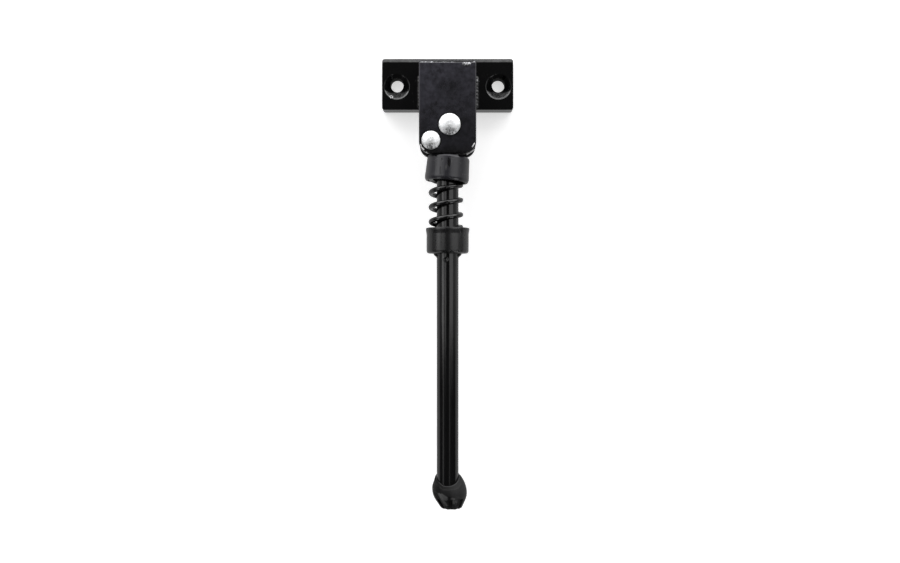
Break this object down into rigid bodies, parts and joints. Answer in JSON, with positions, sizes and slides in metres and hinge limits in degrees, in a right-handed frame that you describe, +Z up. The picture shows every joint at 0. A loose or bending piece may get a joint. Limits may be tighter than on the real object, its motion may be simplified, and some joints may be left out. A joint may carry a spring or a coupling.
{
  "type": "side stand",
  "caption": "Bolt-on side stand: flat plate, sheet bracket, and a round leg on a rivet that swings sideways and is held by a sprung cup",
  "frame": {"origin": "midway between the centres of the two bolt holes, on the plate's back face", "axes": "+X to the right, the side that the leg folds to, +Y out of the plate's back face towards the deck, +Z up, with the leg hanging along -Z"},
  "size_m": [0.0738, 0.0293, 0.2502],
  "materials": {
    "plate_paint": "gloss black paint",
    "bracket_paint": "gloss dark grey paint",
    "weld_paint": "gloss dark paint over weld",
    "rivet_zinc": "bright zinc plating",
    "leg_paint": "gloss black paint",
    "cup_paint": "satin dark grey paint",
    "spring_paint": "gloss black paint",
    "foot_rubber": "matt black rubber"
  },
  "bodies": {
    "bracket": {"mounting_plate": "plate_paint", "rear_cheek": "bracket_paint", "front_cheek": "bracket_paint", "left_weld": "weld_paint", "right_weld": "weld_paint", "seam_weld": "weld_paint", "pivot_rivet": "rivet_zinc", "stop_rivet": "rivet_zinc"},
    "leg": {"leg_rod": "leg_paint", "coil_spring": "spring_paint", "lower_cup": "cup_paint", "rubber_foot": "foot_rubber"},
    "cup": {"upper_cup": "cup_paint"}
  },
  "joints": [
    {"name": "leg_swing", "type": "hinge", "parent": "bracket", "child": "leg", "pos_m": [0.0011, -0.0173, -0.0262], "axis": [0, -1, 0], "range_deg": [0, 90]},
    {"name": "cup_slide", "type": "slide", "parent": "leg", "child": "cup", "axis": [0, 0, -1], "range_m": [0, 0.0045], "stiffness_N_per_m": 2000, "springref_m": -0.004, "deforming": ["coil_spring"]}
  ]
}
